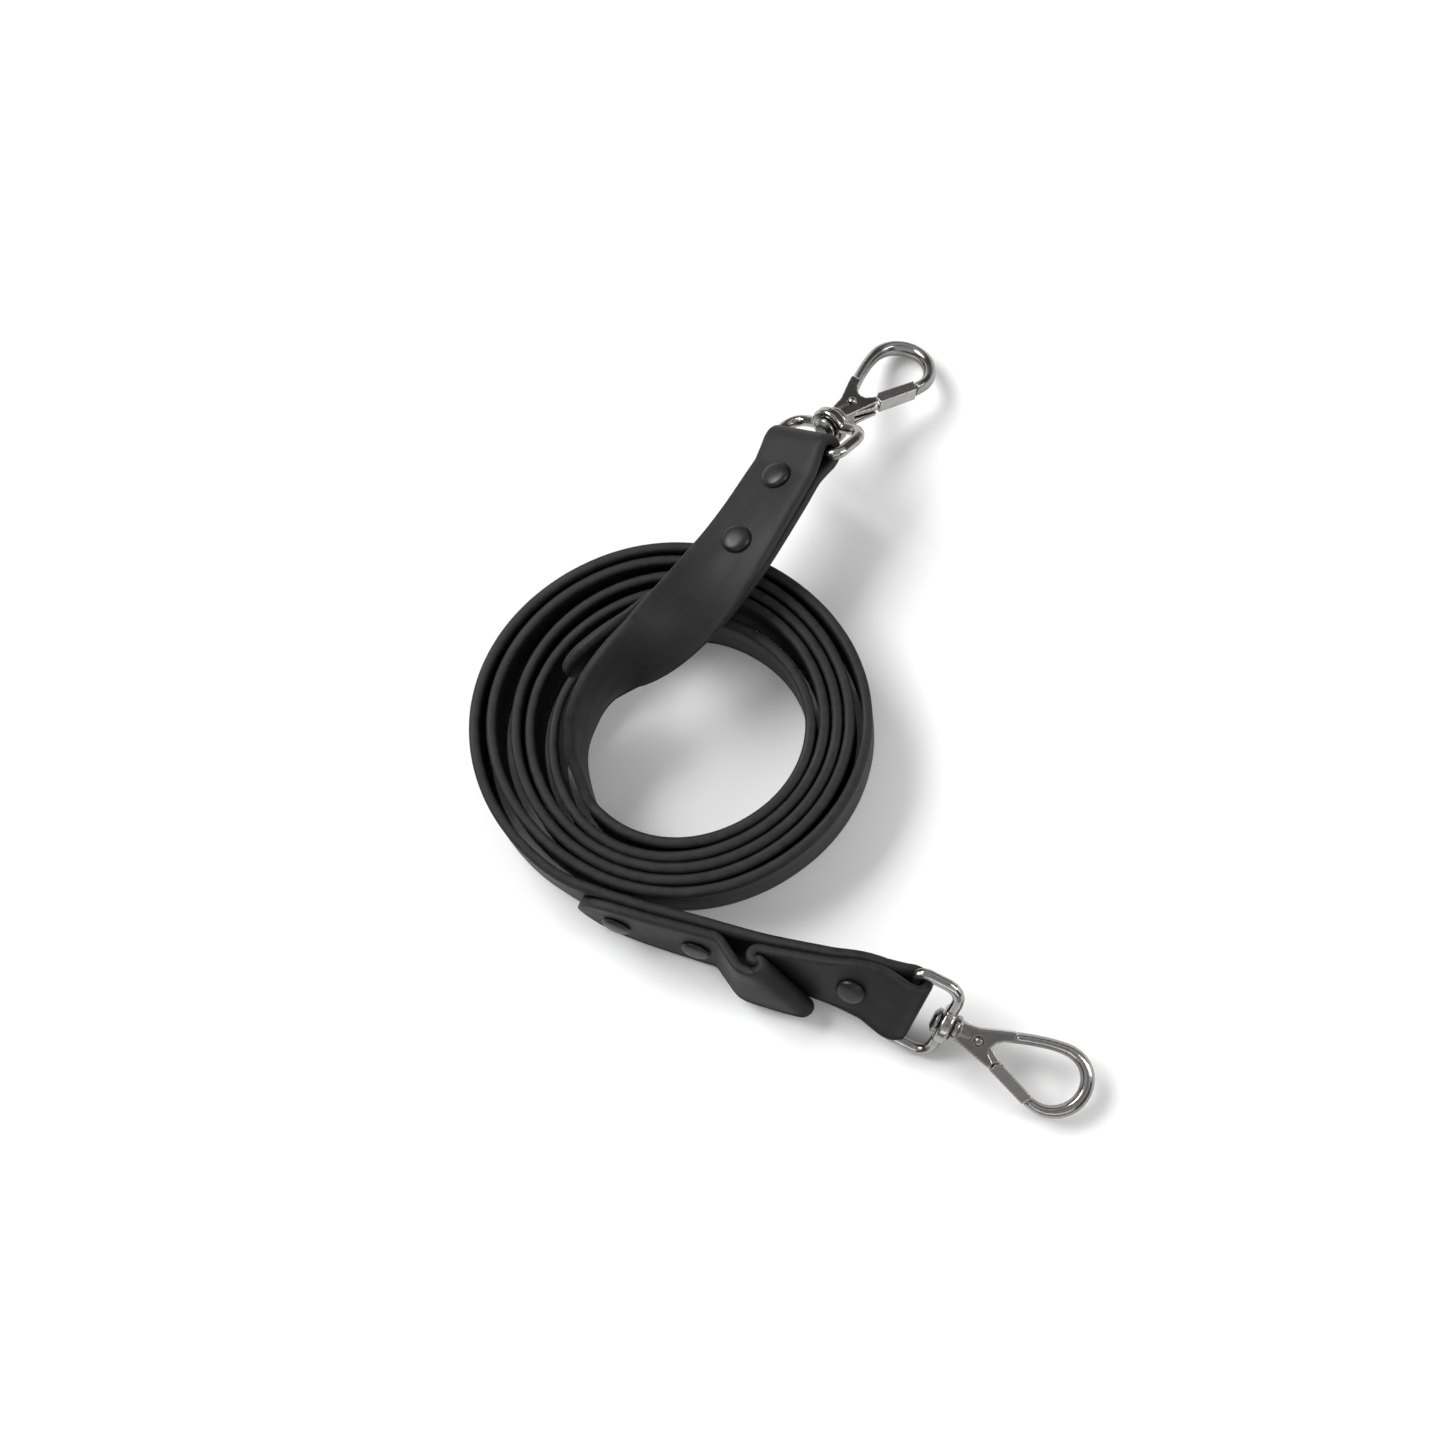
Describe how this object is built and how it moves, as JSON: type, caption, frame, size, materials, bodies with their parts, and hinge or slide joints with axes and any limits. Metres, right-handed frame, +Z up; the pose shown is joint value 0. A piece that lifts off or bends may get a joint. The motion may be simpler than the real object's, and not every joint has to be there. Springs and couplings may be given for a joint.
{
  "type": "training leash",
  "caption": "Double-ended training leash: flat coated-webbing strap wound on its edge, with a riveted fold and a swivel snap hook at each end.",
  "frame": {"origin": "centre of the bounding box's base, on the plane the coil stands on", "axes": "+Z up from the surface it stands on, +Y across the coil from the lower hook to the upper hook, the longest extent, +X to the right of it"},
  "size_m": [0.1442, 0.2068, 0.0383],
  "materials": {
    "strap": "satin charcoal-black coated webbing",
    "rivets": "satin black",
    "steel": "satin nickel plate"
  },
  "bodies": {
    "leash": {"strap": "strap", "upper_rivet_1_cap": "rivets", "upper_rivet_1_stud": "rivets", "upper_rivet_2_cap": "rivets", "upper_rivet_2_stud": "rivets", "lower_rivet_1_cap": "rivets", "lower_rivet_1_stud": "rivets", "lower_rivet_2_cap": "rivets", "lower_rivet_2_stud": "rivets", "lower_rivet_3_cap": "rivets", "lower_rivet_3_stud": "rivets"},
    "upper_eye_frame": {"upper_eye": "steel"},
    "upper_hook": {"upper_hook_body": "steel", "upper_swivel_pin": "steel", "upper_gate_pin": "steel", "upper_gate_spring": "steel"},
    "upper_gate_arm": {"upper_gate": "steel"},
    "lower_eye_frame": {"lower_eye": "steel"},
    "lower_hook": {"lower_hook_body": "steel", "lower_swivel_pin": "steel", "lower_gate_pin": "steel", "lower_gate_spring": "steel"},
    "lower_gate_arm": {"lower_gate": "steel"}
  },
  "joints": [
    {"name": "upper_eye_swing", "type": "hinge", "parent": "leash", "child": "upper_eye_frame", "pos_m": [0.0307, 0.0746, 0.0241], "axis": [-0.6324, 0.5874, -0.505], "range_deg": [-85, 45]},
    {"name": "upper_swivel", "type": "hinge", "parent": "upper_eye_frame", "child": "upper_hook", "pos_m": [0.0307, 0.0746, 0.0241], "axis": [0.7746, 0.4747, -0.4179], "continuous": true},
    {"name": "upper_gate_opens", "type": "hinge", "parent": "upper_hook", "child": "upper_gate_arm", "pos_m": [0.04658, 0.08433, 0.01554], "axis": [0.2662, 0.3547, 0.8963], "range_deg": [0, 30], "stiffness_Nm_per_rad": 0.02, "springref_deg": -20.05},
    {"name": "lower_eye_swing", "type": "hinge", "parent": "leash", "child": "lower_eye_frame", "pos_m": [0.01237, -0.06602, 0.01235], "axis": [0.5218, 0.3789, 0.7643], "range_deg": [-70, 70]},
    {"name": "lower_swivel", "type": "hinge", "parent": "lower_eye_frame", "child": "lower_hook", "pos_m": [0.01237, -0.06602, 0.01235], "axis": [0.72, -0.6761, -0.1564], "continuous": true},
    {"name": "lower_gate_opens", "type": "hinge", "parent": "lower_hook", "child": "lower_gate_arm", "pos_m": [0.02713, -0.07988, 0.00914], "axis": [-0.0138, -0.2394, 0.9708], "range_deg": [0, 30], "stiffness_Nm_per_rad": 0.02, "springref_deg": -20.05}
  ]
}
